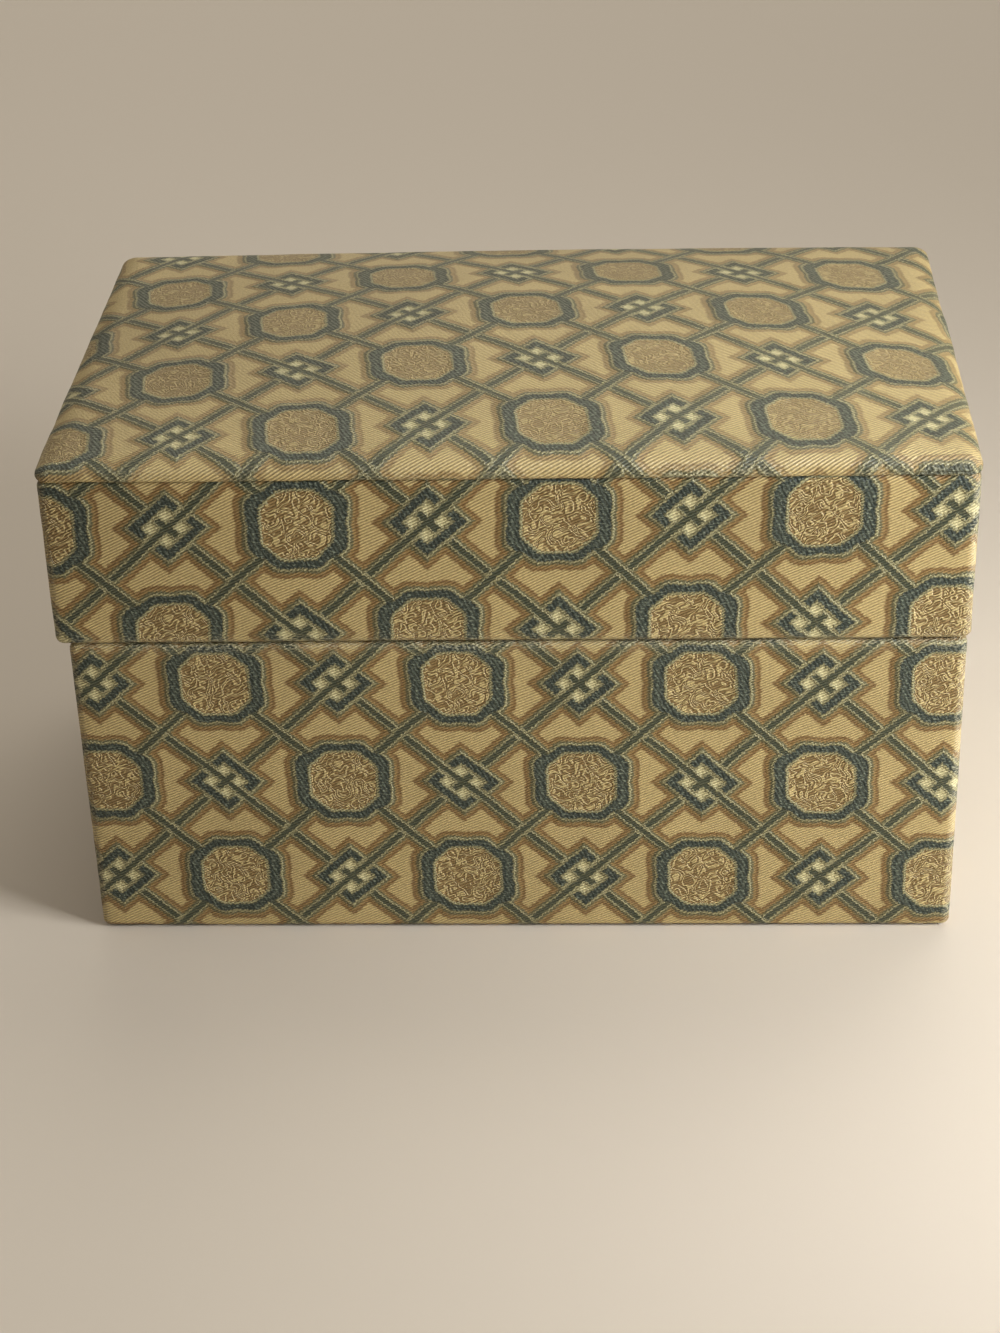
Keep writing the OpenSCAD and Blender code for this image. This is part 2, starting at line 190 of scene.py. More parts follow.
@dataclass(frozen=True)
class Brocade:
    """Silk brocade, woven on a twill ground with extra coloured wefts.

    The eye sees a satin-like gold ground with shallow diagonal ribs, and on it a raised lattice of
    straps that pass over and under each other between knots and roundels, edged thread by thread.
    """

    name: str = "woven_silk_brocade"
    # Half a repeat of the figure, across and along the cloth
    across: float = 20.7
    along: float = 19.8
    # Distance between the ribs of the twill ground, and how steeply they rise to the right
    rib: float = 0.47
    slant: float = 25.0
    # Distance between the teeth that the wefts give to the figure's edges
    tooth: float = 0.56
    # How much painted sheen pales the dark threads and flattens the scrolls, as on cloth seen at a grazing angle
    painted_sheen: float = 0.0

    def sums(self) -> tuple:
        """Lists the sums behind the figure: how far a place is from each motif, in half repeats.

        Returns:
            Rows of name, operation and terms, each term a number or the name of an earlier row.
        """
        turn = 2 * math.pi / self.tooth
        half = math.sqrt(0.5)
        spin = 2 * math.pi / self.rib
        rise, run = math.sin(math.radians(self.slant)), math.cos(math.radians(self.slant))
        return (
            ("x_turns", "MULTIPLY", "x", turn * 0.9),
            ("y_turns", "MULTIPLY", "y", turn),
            ("x_teeth", "SINE", "y_turns"),
            ("y_teeth", "SINE", "x_turns"),
            ("xs", "MULTIPLY_ADD", "x_teeth", 0.09, "x"),
            ("ys", "MULTIPLY_ADD", "y_teeth", 0.08, "y"),
            ("u", "DIVIDE", "xs", self.across),
            ("v", "DIVIDE", "ys", self.along),
            # The two diagonals that the straps follow
            ("p", "ADD", "u", "v"),
            ("q", "SUBTRACT", "u", "v"),
            # Which row of knots this is: the strap on top leans the other way in every second row
            ("p_half", "MULTIPLY", "p", 0.5),
            ("q_half", "MULTIPLY", "q", 0.5),
            ("p_knot", "ROUND", "p_half"),
            ("q_knot", "ROUND", "q_half"),
            ("row", "SUBTRACT", "p_knot", "q_knot"),
            ("row_turn", "WRAP", "row", 1, -1),
            ("odd", "ABSOLUTE", "row_turn"),
            ("p_off", "WRAP", "p", 1, -1),
            ("q_off", "WRAP", "q", 1, -1),
            ("kp", "ABSOLUTE", "p_off"),
            ("kq", "ABSOLUTE", "q_off"),
            ("swap", "SUBTRACT", "kq", "kp"),
            ("kx", "MULTIPLY_ADD", "odd", "swap", "kp"),
            ("both", "ADD", "kp", "kq"),
            ("ky", "SUBTRACT", "both", "kx"),
            # Distances from the roundel's own middle
            ("p_one", "SUBTRACT", "p", 1),
            ("q_one", "SUBTRACT", "q", 1),
            ("mp", "WRAP", "p_one", 1, -1),
            ("mq", "WRAP", "q_one", 1, -1),
            ("m_plus", "ADD", "mp", "mq"),
            ("m_minus", "SUBTRACT", "mp", "mq"),
            ("m_wide", "ABSOLUTE", "m_plus"),
            ("m_high", "ABSOLUTE", "m_minus"),
            ("mu", "MULTIPLY", "m_wide", 0.5),
            ("mv", "MULTIPLY", "m_high", 0.5),
            # Outer edge of the roundel's ring: straight sides with a small dip, cut and notched corners
            ("dip_u", "MULTIPLY_ADD", "mv", -1 / 0.07, 1),
            ("dip_u0", "MAXIMUM", "dip_u", 0),
            ("side_u0", "MULTIPLY_ADD", "dip_u0", 0.012, "mu"),
            ("side_u", "SUBTRACT", "side_u0", 0.397),
            ("dip_v", "MULTIPLY_ADD", "mu", -1 / 0.08, 1),
            ("dip_v0", "MAXIMUM", "dip_v", 0),
            ("side_v0", "MULTIPLY_ADD", "dip_v0", 0.014, "mv"),
            ("side_v", "SUBTRACT", "side_v0", 0.39),
            ("m_sum", "ADD", "mu", "mv"),
            ("m_diff", "SUBTRACT", "mu", "mv"),
            ("m_lean", "MULTIPLY", "m_diff", 1 / 0.05),
            ("m_lean_lo", "MAXIMUM", "m_lean", -1),
            ("m_lean_in", "MINIMUM", "m_lean_lo", 1),
            ("m_diag0", "MULTIPLY_ADD", "m_lean_in", -0.024, "m_sum"),
            ("m_diag1", "SUBTRACT", "m_diag0", 0.582),
            ("m_diag", "MULTIPLY", "m_diag1", half),
            ("m_sides", "MAXIMUM", "side_u", "side_v"),
            ("outer", "SMOOTH_MAX", "m_sides", "m_diag", 0.05),
            # Inner edge of the ring
            ("in_side_u", "SUBTRACT", "mu", 0.292),
            ("in_side_v", "SUBTRACT", "mv", 0.313),
            ("in_sides", "MAXIMUM", "in_side_u", "in_side_v"),
            ("in_diag0", "SUBTRACT", "m_sum", 0.45),
            ("in_diag", "MULTIPLY", "in_diag0", half),
            ("inner", "SMOOTH_MAX", "in_sides", "in_diag", 0.04),
            ("not_inner", "MULTIPLY", "inner", -1),
            ("roundel", "MAXIMUM", "outer", "not_inner"),
            # The knot's square ring, open where the top strap passes
            ("k_most", "MAXIMUM", "kx", "ky"),
            ("k_ring0", "SUBTRACT", "k_most", 0.255),
            ("k_ring1", "ABSOLUTE", "k_ring0"),
            ("k_ring2", "MULTIPLY", "k_ring1", half),
            ("k_ring", "SUBTRACT", "k_ring2", 0.037),
            ("k_open0", "SUBTRACT", 0.085, "ky"),
            ("k_open", "MULTIPLY", "k_open0", half),
            ("knot", "MAXIMUM", "k_ring", "k_open"),
            # The cross-bar under the strap in the knot's middle
            ("bar0", "MULTIPLY", "kx", half),
            ("bar1", "SUBTRACT", "bar0", 0.024),
            ("bar2", "SUBTRACT", "ky", 0.15),
            ("bar", "MAXIMUM", "bar1", "bar2"),
            # Straps between roundels lie on top where straps cross
            ("over_x", "SUBTRACT", 1, "kx"),
            ("over_y", "SUBTRACT", 1, "ky"),
            ("over0", "MINIMUM", "over_x", "over_y"),
            ("over1", "MULTIPLY", "over0", half),
            ("over2", "SUBTRACT", "over1", 0.022),
            ("not_outer", "MULTIPLY", "outer", -1),
            ("over", "MAXIMUM", "over2", "not_outer"),
            # The knot's top strap, broken where another strap passes over it
            ("top0", "MULTIPLY", "ky", half),
            ("top1", "SUBTRACT", "top0", 0.022),
            ("top2", "SUBTRACT", "kx", 0.915),
            ("top3", "MULTIPLY", "top2", half),
            ("top", "MAXIMUM", "top1", "top3"),
            # The knot's lower strap, which starts outside the ring
            ("low0", "MULTIPLY", "kx", half),
            ("low1", "SUBTRACT", "low0", 0.022),
            ("low2", "SUBTRACT", "ky", 0.915),
            ("low3", "SUBTRACT", 0.36, "ky"),
            ("low4", "MAXIMUM", "low2", "low3"),
            ("low5", "MULTIPLY", "low4", half),
            ("low", "MAXIMUM", "low1", "low5"),
            ("straps0", "MINIMUM", "over", "top"),
            ("straps1", "MINIMUM", "straps0", "low"),
            ("straps", "MINIMUM", "straps1", "bar"),
            ("rings", "MINIMUM", "roundel", "knot"),
            ("dark", "MINIMUM", "rings", "straps"),
            # Ribs of the ground rise to the right, the cords of the dark wefts lean the other way
            ("rib_x", "MULTIPLY", "rib_u", -rise * spin),
            ("rib_xy", "MULTIPLY_ADD", "rib_v", run * spin, "rib_x"),
            ("rib_wave", "SINE", "rib_xy"),
            ("rib", "MULTIPLY_ADD", "rib_wave", 0.5, 0.5),
            ("cord_x", "MULTIPLY", "x", run * spin * 0.7),
            ("cord_xy", "MULTIPLY_ADD", "y", rise * spin * 0.7, "cord_x"),
            ("cord_wave", "SINE", "cord_xy"),
            ("cord", "MULTIPLY_ADD", "cord_wave", 0.2, 0.45),
        )

    def places(self, tree: bpy.types.NodeTree, cloth: bpy.types.NodeSocket) -> tuple[bpy.types.NodeSocket, ...]:
        """Moves the threads off their true lines, as a hand loom does.

        Args:
            tree: the node tree.
            cloth: the place on the cloth.

        Returns:
            The place with the loom's slow drift and the uneven beat of single threads, for the figure,
            and the place with the drift alone, for the ribs.
        """
        drift = node(tree, "ShaderNodeTexNoise", {"Vector": cloth, "Scale": 0.07, "Detail": 1.0}).outputs["Color"]
        drifted = node(tree, "ShaderNodeVectorMath", {0: drift, 1: (0.9, 0.9, 0), 2: cloth},
                       operation="MULTIPLY_ADD").outputs[0]
        beat = node(tree, "ShaderNodeTexNoise", {"Vector": cloth, "Scale": 1.4, "Detail": 2.0}).outputs["Color"]
        uneven = node(tree, "ShaderNodeVectorMath", {0: beat, 1: (0.66, 0.66, 0), 2: drifted},
                      operation="MULTIPLY_ADD").outputs[0]
        figure = node(tree, "ShaderNodeVectorMath", {0: uneven, 1: (0.78, 0.78, 0)}, operation="SUBTRACT").outputs[0]
        return figure, drifted

    def masks(self, tree: bpy.types.NodeTree, known: dict) -> dict:
        """Turns the distances into masks of the coloured wefts.

        Args:
            tree: the node tree.
            known: name to output socket of the sums.

        Returns:
            Name to output socket of each mask.
        """
        limits = (
            # Name, distance, where the mask starts and where it is full
            ("navy", "rings", 0.001, -0.012),
            ("core", "straps", 0.01, -0.004),
            ("centre", "inner", -0.014, -0.026),
            ("vein", "roundel", -0.030, -0.042),
            ("inside", "k_most", 0.235, 0.21),
            ("clear", "dark", 0.014, 0.03),
            ("shoulder", "dark", 0.075, -0.004),
            ("lip", "dark", 0.022, 0.009),
        )
        found = {name: node(tree, "ShaderNodeMapRange", {"Value": known[source], "From Min": start, "From Max": full},
                            interpolation_type="SMOOTHSTEP").outputs[0]
                 for name, source, start, full in limits}
        found["window"] = node(tree, "ShaderNodeMath", {0: found["inside"], 1: found["clear"]},
                               operation="MULTIPLY").outputs[0]
        return found

    def bands(self, tree: bpy.types.NodeTree, distance: bpy.types.NodeSocket) -> bpy.types.NodeSocket:
        """Colours the ground by how far it is from the dark threads: light selvedge, moss, tan, brown, gold.

        Args:
            tree: the node tree.
            distance: the distance, in half repeats.

        Returns:
            The colour.
        """
        edge = node(tree, "ShaderNodeMapRange", {"Value": distance, "From Min": -0.02, "From Max": 0.13}).outputs[0]
        ramp = node(tree, "ShaderNodeValToRGB", {"Fac": edge})
        stops = ((-0.014, Shade.MOSS), (-0.002, Shade.MOSS), (0.007, Shade.SAGE), (0.013, Shade.SAGE),
                 (0.02, Shade.MOSS), (0.032, Shade.MOSS), (0.044, Shade.TAN), (0.056, Shade.TAN),
                 (0.064, Shade.BROWN), (0.078, Shade.BROWN), (0.094, Shade.GOLD))
        for index, (at, shade) in enumerate(stops):
            share = (at + 0.02) / 0.15
            element = ramp.color_ramp.elements[index] if index < 2 else ramp.color_ramp.elements.new(share)
            element.position = share
            # Painted sheen pales the brown outlines towards the gold
            paler = 1.5 * self.painted_sheen if shade in (Shade.TAN, Shade.BROWN) else 0.0
            element.color = between(shade, Shade.GOLD, paler)
        return ramp.outputs["Color"]

    def make(self) -> bpy.types.Material:
        """Makes the material.

        Returns:
            The brocade, in the cloth's own millimetres.
        """
        material, tree = new_material(self.name)
        cloth = node(tree, "ShaderNodeUVMap", uv_map=CLOTH_MAP).outputs["UV"]
        figure, ribs = (node(tree, "ShaderNodeSeparateXYZ", {"Vector": p}) for p in self.places(tree, cloth))
        known = {"x": figure.outputs["X"], "y": figure.outputs["Y"],
                 "rib_u": ribs.outputs["X"], "rib_v": ribs.outputs["Y"]}
        for name, operation, *terms in self.sums():
            inputs = {i: known[term] if isinstance(term, str) else term for i, term in enumerate(terms)}
            known[name] = node(tree, "ShaderNodeMath", inputs, operation=operation, label=name).outputs[0]
        mask = self.masks(tree, known)
        # Single light threads that come up between the dark ones
        stretched = node(tree, "ShaderNodeMapping", {"Vector": cloth, "Rotation": (0, 0, math.radians(25)),
                                                     "Scale": (1.5, 3.2, 1)}).outputs[0]
        stipple = node(tree, "ShaderNodeTexNoise", {"Vector": stretched, "Scale": 1.0, "Detail": 2.0}).outputs["Fac"]
        light = node(tree, "ShaderNodeMapRange", {"Value": stipple, "From Min": 0.5, "From Max": 0.74}).outputs[0]
        veined = node(tree, "ShaderNodeMath", {0: mask["vein"], 1: 0.14, 2: light}, operation="MULTIPLY_ADD",
                      use_clamp=True).outputs[0]
        # Painted sheen pales the navy and the core towards moss, and flattens the roundels' scrolls
        navy = node(tree, "ShaderNodeMix", {0: veined, 6: between(Shade.NAVY, Shade.MOSS, self.painted_sheen),
                                            7: linear(Shade.NAVY_LIGHT)}, data_type="RGBA").outputs[2]
        core = node(tree, "ShaderNodeMix", {0: light, 6: between(Shade.CORE, Shade.MOSS, self.painted_sheen),
                                            7: linear(Shade.MOSS)}, data_type="RGBA").outputs[2]
        # Scribbled flower scrolls in the roundels
        scroll = node(tree, "ShaderNodeTexNoise",
                      {"Vector": cloth, "Scale": 0.43, "Detail": 1.0, "Distortion": 0.9}).outputs["Fac"]
        levels = node(tree, "ShaderNodeMath", {0: scroll, 1: 6.5}, operation="MULTIPLY").outputs[0]
        nearest = node(tree, "ShaderNodeMath", {0: levels, 1: 0.5}, operation="PINGPONG").outputs[0]
        line = node(tree, "ShaderNodeMapRange", {"Value": nearest, "From Min": 0.3, "From Max": 0.1}).outputs[0]
        centre = node(tree, "ShaderNodeMix", {
            0: line, 6: between(Shade.ROUNDEL, Shade.ROUNDEL_LIGHT, self.painted_sheen),
            7: between(Shade.ROUNDEL_LIGHT, Shade.ROUNDEL, 1.2 * self.painted_sheen)}, data_type="RGBA").outputs[2]
        colour = self.bands(tree, known["dark"])
        layers = ((mask["centre"], centre), (mask["window"], linear(Shade.WINDOW)), (mask["core"], core),
                  (mask["navy"], navy))
        for share, over in layers:
            colour = node(tree, "ShaderNodeMix", {0: share, 6: colour, 7: over}, data_type="RGBA").outputs[2]
        # Threads: the ground shows its ribs, the figure its cords, and single wefts differ a little
        thread = node(tree, "ShaderNodeMix", {0: mask["navy"], 2: known["rib"], 3: known["cord"]}).outputs[0]
        single = node(tree, "ShaderNodeTexNoise", {"Vector": cloth, "Scale": 2.1, "Detail": 2.0}).outputs["Fac"]
        patch = node(tree, "ShaderNodeTexNoise", {"Vector": cloth, "Scale": 0.035, "Detail": 2.0}).outputs["Fac"]
        shade = node(tree, "ShaderNodeMath", {0: thread, 1: 0.6, 2: 0.3}, operation="MULTIPLY_ADD").outputs[0]
        for noise_out, weight in ((single, 0.5), (patch, 0.3)):
            shade = node(tree, "ShaderNodeMath", {0: noise_out, 1: weight, 2: shade},
                         operation="MULTIPLY_ADD").outputs[0]
        colour = node(tree, "ShaderNodeMix", {0: 1.0, 6: colour, 7: shade}, data_type="RGBA",
                      blend_type="MULTIPLY").outputs[2]
        # Rubbed edges: pale broken threads stand up where the cloth is folded over the board; on the panel's bunched
        # folds the same pale threads are a painted highlight
        wear_and_highlight = node(tree, "ShaderNodeAttribute", attribute_name=WEAR_AND_HIGHLIGHT).outputs["Fac"]
        rubbed = node(tree, "ShaderNodeMapRange", {"Value": stipple, "From Min": 0.42, "From Max": 0.62}).outputs[0]
        worn_and_highlit = node(tree, "ShaderNodeMath", {0: wear_and_highlight, 1: rubbed}, operation="MULTIPLY", use_clamp=True).outputs[0]
        colour = node(tree, "ShaderNodeMix", {0: worn_and_highlit, 6: colour, 7: linear(Shade.WORN)},
                      data_type="RGBA").outputs[2]
        # Relief: the figure stands on the ground with soft shoulders, and the threads on both
        scrolls = node(tree, "ShaderNodeMath", {0: line, 1: mask["centre"]}, operation="MULTIPLY").outputs[0]
        height = node(tree, "ShaderNodeMath", {0: mask["shoulder"], 1: 0.6}, operation="MULTIPLY").outputs[0]
        for part, weight in ((scrolls, 0.4), (thread, 0.4), (single, 0.3), (light, 0.15), (worn_and_highlit, 0.3),
                             (mask["lip"], 0.3), (mask["core"], -0.3)):
            height = node(tree, "ShaderNodeMath", {0: part, 1: weight, 2: height},
                          operation="MULTIPLY_ADD").outputs[0]
        bump = node(tree, "ShaderNodeBump", {"Height": height, "Strength": 1.0, "Distance": 0.0003}).outputs[0]
        rough = node(tree, "ShaderNodeMix", {0: mask["navy"], 2: 0.46, 3: 0.6}).outputs[0]
        shader = node(tree, "ShaderNodeBsdfPrincipled", {
            "Base Color": colour, "Roughness": rough, "Normal": bump, "Specular IOR Level": 0.5,
            "Sheen Weight": 0.2, "Sheen Roughness": 0.35, "Sheen Tint": linear(Shade.ROUNDEL_LIGHT)})
        node(tree, "ShaderNodeOutputMaterial", {"Surface": shader.outputs[0]})
        return material


@dataclass(frozen=True)
class Satin:
    """Acetate satin, whose long floats lie side by side.

    The eye sees a smooth lustre drawn out along the threads and hardly any weave.
    """

    name: str = "woven_gold_satin"
    # Width of a bundle of floats, drawn coarser than the real 0.1 mm so that it shows
    float_mm: float = 0.35

    def make(self) -> bpy.types.Material:
        """Makes the material.

        Returns:
            The satin, on object coordinates.
        """
        material, tree = new_material(self.name)
        place = node(tree, "ShaderNodeTexCoord").outputs["Object"]
        # Floats run along X and are very fine across it
        along = node(tree, "ShaderNodeMapping", {"Vector": place, "Scale": (60, 1000 / self.float_mm, 1000 / self.float_mm)})
        floats = node(tree, "ShaderNodeTexNoise", {"Vector": along.outputs[0], "Scale": 1.0, "Detail": 2.0}).outputs["Fac"]
        soft = node(tree, "ShaderNodeTexNoise", {"Vector": place, "Scale": 35.0, "Detail": 2.0}).outputs["Fac"]
        fine = node(tree, "ShaderNodeMath", {0: floats, 1: 0.5}, operation="MULTIPLY").outputs[0]
        tone = node(tree, "ShaderNodeMath", {0: soft, 1: 0.6, 2: fine}, operation="MULTIPLY_ADD").outputs[0]
        colour = node(tree, "ShaderNodeMix", {0: tone, 6: linear(Shade.SATIN_DEEP), 7: linear(Shade.SATIN)},
                      data_type="RGBA").outputs[2]
        bump = node(tree, "ShaderNodeBump", {"Height": floats, "Strength": 0.35, "Distance": 0.00006}).outputs[0]
        shader = node(tree, "ShaderNodeBsdfPrincipled", {
            "Base Color": colour, "Roughness": 0.34, "Normal": bump, "Anisotropic": 0.5,
            "Sheen Weight": 0.35, "Sheen Roughness": 0.3, "Sheen Tint": linear(Shade.SATIN)})
        node(tree, "ShaderNodeOutputMaterial", {"Surface": shader.outputs[0]})
        return material


@dataclass(frozen=True)
class Fibre:
    """Board, card, paper or wadding: pressed or laid fibres, matte, with flecks.

    The eye sees a dull even sheet with specks and a faint tooth.
    """

    name: str
    plain: Shade
    fleck: Shade
    # Size of the flecks in millimetres
    grain: float = 1.2
    rough: float = 0.9
    relief: float = 0.05

    def make(self) -> bpy.types.Material:
        """Makes the material.

        Returns:
            The sheet, on object coordinates.
        """
        material, tree = new_material(self.name)
        place = node(tree, "ShaderNodeTexCoord").outputs["Object"]
        flecks = node(tree, "ShaderNodeTexNoise",
                      {"Vector": place, "Scale": 1000 / self.grain, "Detail": 4.0, "Roughness": 0.65}).outputs["Fac"]
        spread = node(tree, "ShaderNodeMapRange", {"Value": flecks, "From Min": 0.35, "From Max": 0.7}).outputs[0]
        colour = node(tree, "ShaderNodeMix", {0: spread, 6: linear(self.plain), 7: linear(self.fleck)},
                      data_type="RGBA").outputs[2]
        bump = node(tree, "ShaderNodeBump",
                    {"Height": flecks, "Strength": 0.5, "Distance": self.relief * MM}).outputs[0]
        shader = node(tree, "ShaderNodeBsdfPrincipled",
                      {"Base Color": colour, "Roughness": self.rough, "Normal": bump})
        node(tree, "ShaderNodeOutputMaterial", {"Surface": shader.outputs[0]})
        return material


@dataclass(frozen=True)
class Lay:
    """How the cloth lies on a piece: where a knot falls, and how it is pulled."""

    # Place of a knot whose top strap rises to the right, on the piece's flat
    knot: tuple[float, float]
    # Half repeats as they measure on the piece, stretched as the cloth is
    half_repeat: tuple[float, float]
    turn: float = 0.0
    lean: float = 0.0

    def place(self, s: float, t: float, cloth: Brocade) -> tuple[float, float]:
        """Gives the cloth's own millimetres at a place on the piece.

        Args:
            s: distance across the piece's flat.
            t: distance along it.
            cloth: the brocade that lies there.

        Returns:
            The place on the unstretched cloth.
        """
        c, n = math.cos(math.radians(self.turn)), math.sin(math.radians(self.turn))
        ds, dt = s - self.knot[0], t - self.knot[1]
        x, y = ds * c + dt * n, dt * c - ds * n
        return ((x - self.lean * y) / self.half_repeat[0] * cloth.across, y / self.half_repeat[1] * cloth.along)


def spaced(low: float, high: float, step: float) -> list[float]:
    """Places from low to high, about step apart.

    Args:
        low: the first place.
        high: the last place.
        step: the most between two places.

    Returns:
        The places, ends included.
    """
    count = max(1, math.ceil((high - low) / step))
    return [low + (high - low) * i / count for i in range(count + 1)]


def flat_cloth(us: list[float], vs: list[float]) -> tuple[bmesh.types.BMesh, dict]:
    """Lays out a cut of cloth as a grid whose threads fall on the given places.

    Args:
        us: places across the cut.
        vs: places along it.

    Returns:
        The bmesh, flat on z = 0 with its layers for cloth places and for wear with painted highlight, and each vertex's
        place on the cut.
    """
    bm = bmesh.new()
    bm.loops.layers.uv.new(CLOTH_MAP)
    bm.verts.layers.float.new(WEAR_AND_HIGHLIGHT)
    bmesh.ops.create_grid(bm, x_segments=len(us) - 1, y_segments=len(vs) - 1, size=0.5)
    places = {}
    for vert in bm.verts:
        i = round((vert.co.x + 0.5) * (len(us) - 1))
        j = round((vert.co.y + 0.5) * (len(vs) - 1))
        places[vert] = (us[i], vs[j])
        vert.co = Vector((us[i], vs[j], 0))
    return bm, places


def into_object(bm: bmesh.types.BMesh, name: str, material: bpy.types.Material, smooth: bool = True) -> bpy.types.Object:
    """Turns a bmesh in millimetres into an object at the origin, in metres.

    Args:
        bm: the mesh, which is freed.
        name: the piece's name.
        material: its finish.
        smooth: whether its faces are shaded smooth.

    Returns:
        The object.
    """
    bmesh.ops.scale(bm, vec=(MM, MM, MM), verts=bm.verts)
    for face in bm.faces:
        face.smooth = smooth
    mesh = bpy.data.meshes.new(name)
    bm.to_mesh(mesh)
    bm.free()
    mesh.materials.append(material)
    piece = bpy.data.objects.new(name, mesh)
    bpy.context.scene.collection.objects.link(piece)
    return piece


def ripple(x: float, y: float, z: float, size: float, seed: float) -> float:
    """Soft random height of cloth.

    Args:
        x: place, in millimetres.
        y: place, in millimetres.
        z: place, in millimetres.
        size: width of a ripple, in millimetres.
        seed: picks one of many.

    Returns:
        A height from -1 to 1.
    """
    return noise.noise(Vector((x / size + seed * 7.3, y / size - seed * 3.1, z / size + seed)))


@dataclass
class Tray:
    """The brocade cover of a tray, carried from the hem over the wall and in over the rim."""

    name: str
    body: str
    node_name: str
    width: float
    depth: float
    # Height of the tray's closed side and of its rim, and where its middle is
    closed_z: float
    rim_z: float
    middle: tuple[float, float]
    lay: Lay
    # Half the width of the strip over the back, at whose edges the cover ends
    strip_edge: float = 73.0
    corner_r: float = 1.6
    rim_r: float = 1.2
    hem_r: float = 1.0
    hem: float = 12.0
    turn_in: float = 9.0
    flap: float = 4.2
    cloth_t: float = 0.6
    lip_r: float = 0.5
    seed: float = 1.0

    def section(self) -> list[tuple[float, float, float]]:
        """Walks the cloth from its hem to the end of the turn-in.

        Returns:
            Rows of distance along the cloth, inset from the wall's face and height above the closed side.
        """
        high = abs(self.rim_z - self.closed_z)
        points = [(inset, 0.0) for inset in spaced(-self.hem, -self.hem_r - 0.01, 3)]
        points = [(-inset, z) for inset, z in points]
        for a in (15, 30, 45, 60, 75, 90):
            angle = math.radians(a)
            points.append((self.hem_r * (1 - math.sin(angle)), self.hem_r * (1 - math.cos(angle))))
        points += [(0.0, z) for z in spaced(self.hem_r, high - self.rim_r, 1.6)[1:]]
        for a in (15, 30, 45, 60, 75, 90):
            angle = math.radians(a)
            points.append((self.rim_r * (1 - math.cos(angle)), high - self.rim_r * (1 - math.sin(angle))))
        points += [(inset, high) for inset in spaced(self.rim_r, self.flap - self.lip_r, 1.0)[1:]]
        for a in (30, 60, 90):
            angle = math.radians(a)
            points.append((self.flap - self.lip_r * (1 - math.sin(angle)), high - self.lip_r * (1 - math.cos(angle))))
        points += [(self.flap, z) for z in reversed(spaced(high - self.turn_in, high - self.lip_r, 2.0)[:-1])]
        # Distance along the cloth is the height on the wall's face, so that the figure keeps its place there
        start = next(i for i, p in enumerate(points) if p[0] == 0.0)
        along = [0.0] * len(points)
        along[start] = points[start][1]
        for i in range(start + 1, len(points)):
            along[i] = along[i - 1] + math.dist(points[i], points[i - 1])
        for i in range(start - 1, -1, -1):
            along[i] = along[i + 1] - math.dist(points[i], points[i + 1])
        return [(along[i], *points[i]) for i in range(len(points))]

    def stations(self) -> list[float]:
        """Distances round the tray from the middle of the front, right round from back to back."""
        r = self.corner_r
        straight, side, arc = self.width / 2 - r, self.depth - 2 * r, math.pi * r / 2
        half = spaced(0, straight, 1.7)
        half += [straight + arc * i / 5 for i in range(1, 6)]
        half += [straight + arc + s for s in spaced(0, side, 1.7)[1:]]
        half += [straight + arc + side + arc * i / 5 for i in range(1, 6)]
        back = straight + arc + side + arc
        ends = {round(straight - self.strip_edge + shift, 3) for shift in (self.middle[0], -self.middle[0])}
        half += [back + s for s in sorted({0.7, *ends, *(end + 0.15 for end in ends)})]
        half += [back + s for s in spaced(max(ends) + 0.15, straight, 4)[1:]]
        return [-s for s in reversed(half)][:-1] + half

    def outline(self, s: float, inset: float) -> tuple[float, float, float, float]:
        """Finds a place on the tray's outline.

        Args:
            s: distance round the tray from the middle of the front.
            inset: how far inside the wall's face it is.

        Returns:
            The place and the outward direction there.
        """
        r = self.corner_r
        inner_r = max(r - inset, 0.15)
        straight, side, arc = self.width / 2 - r, self.depth - 2 * r, math.pi * r / 2
        hx, hy = self.width / 2 - inset - inner_r, self.depth / 2 - inset - inner_r
        sign, s = (1 if s >= 0 else -1), abs(s)
        if s <= straight:
            x, y, nx, ny = s / straight * hx, -hy - inner_r, 0.0, -1.0
        elif s <= straight + arc:
            a = (s - straight) / r
            nx, ny = math.sin(a), -math.cos(a)
            x, y = hx + inner_r * nx, -hy + inner_r * ny
        elif s <= straight + arc + side:
            x, y, nx, ny = hx + inner_r, -hy + (s - straight - arc) / side * 2 * hy, 1.0, 0.0
        elif s <= straight + 2 * arc + side:
            a = (s - straight - arc - side) / r
            nx, ny = math.cos(a), math.sin(a)
            x, y = hx + inner_r * nx, hy + inner_r * ny
        else:
            x, y, nx, ny = (1 - (s - straight - 2 * arc - side) / straight) * hx, hy + inner_r, 0.0, 1.0
        return sign * x, y, sign * nx, ny

    def build(self, cloth: Brocade, material: bpy.types.Material) -> bpy.types.Object:
        """Builds the cover.

        Args:
            cloth: the brocade.
            material: its finish.

        Returns:
            The cover.
        """
        rows = self.section()
        bm, places = flat_cloth(self.stations(), [float(i) for i in range(len(rows))])
        layer = bm.loops.layers.uv[CLOTH_MAP]
        wear_and_highlight = bm.verts.layers.float[WEAR_AND_HIGHLIGHT]
        up = 1 if self.rim_z > self.closed_z else -1
        for face in bm.faces:
            for loop in face.loops:
                s, row = places[loop.vert]
                loop[layer].uv = self.lay.place(s, self.closed_z + up * rows[round(row)][0], cloth)
        behind = []
        for vert, (s, row) in places.items():
            along, inset, z = rows[round(row)]
            face_x, _, _, face_ny = self.outline(s, 0)
            back = abs(face_x + self.middle[0]) < self.strip_edge - 0.01 and face_ny > 0.9
            if back and inset < self.cloth_t + 0.05:
                if z < abs(self.rim_z - self.closed_z) - self.rim_r - 0.01:
                    behind.append(vert)
                inset = self.cloth_t + 0.05
            x, y, nx, ny = self.outline(s, inset)
